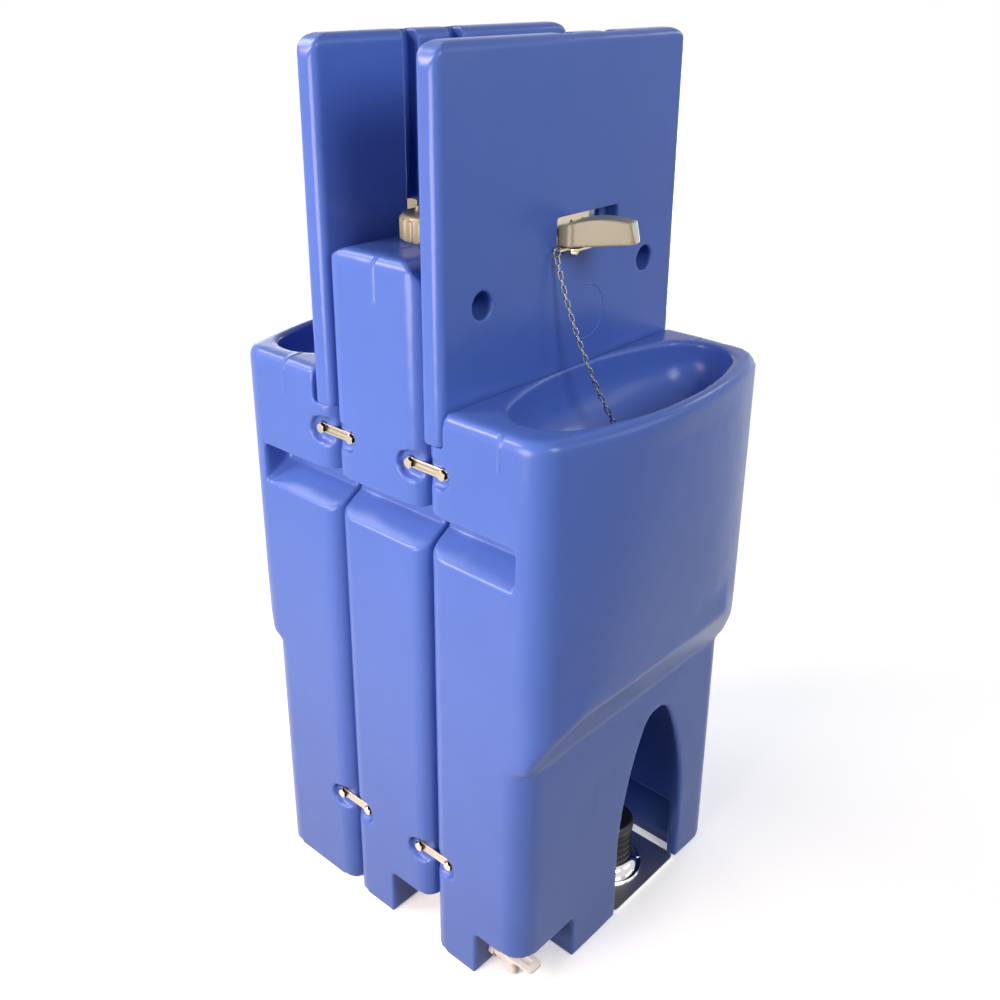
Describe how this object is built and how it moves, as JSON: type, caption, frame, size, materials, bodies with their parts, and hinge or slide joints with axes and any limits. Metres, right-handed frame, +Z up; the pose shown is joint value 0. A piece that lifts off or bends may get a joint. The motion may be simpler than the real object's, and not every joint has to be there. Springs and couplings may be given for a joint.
{
  "type": "double-sided hand-wash station",
  "caption": "Free-standing blue moulded hand-wash station: fresh-water tank between two basin units, each with splashback, swivel spout, bowl with chained plug and foot pump.",
  "frame": {"origin": "centre of the footprint on the floor", "axes": "+Z up, X across the width, the front basin unit faces -Y and the rear one faces +Y"},
  "size_m": [0.495, 0.654, 1.312],
  "materials": {
    "blue_polyethylene": "satin moulded",
    "beige_plastic": "matt",
    "stainless_steel": "brushed",
    "dark_steel": "satin",
    "chrome": "polished",
    "brass": "satin",
    "black_rubber": "satin",
    "grey_plastic": "satin",
    "white_plastic": "satin"
  },
  "bodies": {
    "station": {"front_basin_unit": "blue_polyethylene", "rear_basin_unit": "blue_polyethylene", "fresh_water_tank": "blue_polyethylene", "front_splashback": "blue_polyethylene", "rear_splashback": "blue_polyethylene", "tank_outlets": "grey_plastic", "front_spout_bracket": "stainless_steel", "rear_spout_bracket": "stainless_steel", "front_spout_pivot": "stainless_steel", "rear_spout_pivot": "stainless_steel", "front_tap_elbow": "grey_plastic", "rear_tap_elbow": "grey_plastic", "front_plug_chain": "stainless_steel", "rear_plug_chain": "stainless_steel", "front_bowl_waste": "stainless_steel", "rear_bowl_waste": "stainless_steel", "front_waste_nut": "grey_plastic", "rear_waste_nut": "grey_plastic", "front_kick_plate": "stainless_steel", "rear_kick_plate": "stainless_steel", "front_pump_base": "chrome", "rear_pump_base": "chrome", "front_pump_bellows": "black_rubber", "rear_pump_bellows": "black_rubber", "front_pump_valves": "grey_plastic", "rear_pump_valves": "grey_plastic", "front_suction_hose": "grey_plastic", "rear_suction_hose": "grey_plastic", "front_delivery_hose": "grey_plastic", "rear_delivery_hose": "grey_plastic", "front_drain_valve": "white_plastic", "rear_drain_valve": "white_plastic", "link_plates": "stainless_steel", "link_bolts": "stainless_steel", "thread_inserts": "brass", "front_panel_screws": "dark_steel", "rear_panel_screws": "dark_steel"},
    "filler_cap": {"filler_cap": "beige_plastic", "filler_cap_seal": "black_rubber"},
    "tank_drain_plug": {"tank_drain_plug": "grey_plastic"},
    "front_spout": {"front_spout": "beige_plastic"},
    "front_plug": {"front_bowl_plug": "black_rubber", "front_plug_clip": "stainless_steel"},
    "front_tread": {"front_pump_tread": "black_rubber"},
    "front_drain_lever": {"front_drain_lever": "white_plastic"},
    "rear_spout": {"rear_spout": "beige_plastic"},
    "rear_plug": {"rear_bowl_plug": "black_rubber", "rear_plug_clip": "stainless_steel"},
    "rear_tread": {"rear_pump_tread": "black_rubber"},
    "rear_drain_lever": {"rear_drain_lever": "white_plastic"}
  },
  "joints": [
    {"name": "filler_cap_lift", "type": "slide", "parent": "station", "child": "filler_cap", "axis": [0, 0, 1], "range_m": [0, 0.06]},
    {"name": "tank_drain_plug_pull", "type": "slide", "parent": "station", "child": "tank_drain_plug", "axis": [-1, 0, 0], "range_m": [0, 0.03]},
    {"name": "front_spout_swivel", "type": "hinge", "parent": "station", "child": "front_spout", "pos_m": [-0.006, -0.1327, 1.05], "axis": [0, 0, 1], "range_deg": [-60, 40]},
    {"name": "front_plug_lift", "type": "slide", "parent": "station", "child": "front_plug", "axis": [0, 0, 1], "range_m": [0, 0.05], "deforming": ["front_plug_chain"]},
    {"name": "front_tread_press", "type": "slide", "parent": "station", "child": "front_tread", "axis": [0, 0, 1], "range_m": [-0.03, 0], "stiffness_N_per_m": 1500, "springref_m": 0.004, "deforming": ["front_pump_bellows"]},
    {"name": "front_drain_lever_turn", "type": "hinge", "parent": "station", "child": "front_drain_lever", "pos_m": [-0.206, -0.205, 0.038], "axis": [0, 0, 1], "range_deg": [0, 90]},
    {"name": "rear_spout_swivel", "type": "hinge", "parent": "station", "child": "rear_spout", "pos_m": [0.006, 0.1327, 1.05], "axis": [0, 0, 1], "range_deg": [-60, 40]},
    {"name": "rear_plug_lift", "type": "slide", "parent": "station", "child": "rear_plug", "axis": [0, 0, 1], "range_m": [0, 0.05], "deforming": ["rear_plug_chain"]},
    {"name": "rear_tread_press", "type": "slide", "parent": "station", "child": "rear_tread", "axis": [0, 0, 1], "range_m": [-0.03, 0], "stiffness_N_per_m": 1500, "springref_m": 0.004, "deforming": ["rear_pump_bellows"]},
    {"name": "rear_drain_lever_turn", "type": "hinge", "parent": "station", "child": "rear_drain_lever", "pos_m": [0.206, 0.205, 0.038], "axis": [0, 0, 1], "range_deg": [0, 90]}
  ]
}
